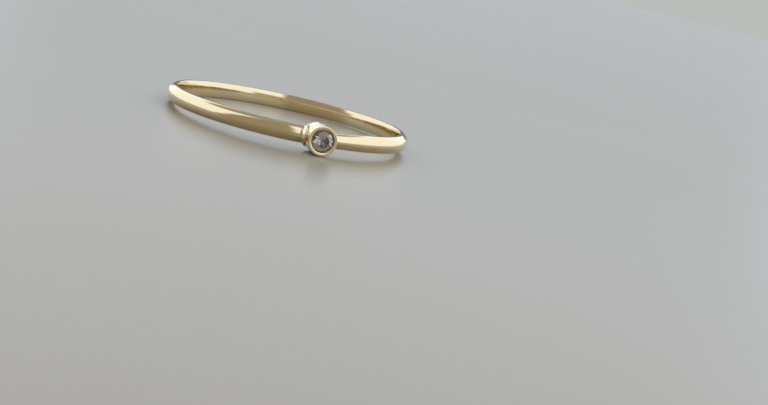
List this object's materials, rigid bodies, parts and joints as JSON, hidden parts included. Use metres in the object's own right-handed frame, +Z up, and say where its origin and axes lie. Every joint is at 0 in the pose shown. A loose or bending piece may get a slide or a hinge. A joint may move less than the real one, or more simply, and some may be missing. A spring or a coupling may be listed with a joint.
{
  "type": "stackable ring",
  "caption": "Thin yellow gold stacking ring with a half-round band and a small round white stone held in a tube bezel soldered across the band.",
  "frame": {"origin": "on the surface that the ring lies on, under the middle of its box", "axes": "+Z up, within 1.4 degrees of the finger's axis, because the ring lies on its side and leans on its setting; -Y the way the stone faces"},
  "size_m": [0.0188, 0.02, 0.0022],
  "materials": {
    "yellow_gold": "polished by hand, with fine wear",
    "white_stone": "polished facets"
  },
  "bodies": {
    "root": {"band_with_bezel": "yellow_gold", "stone": "white_stone"}
  },
  "joints": []
}
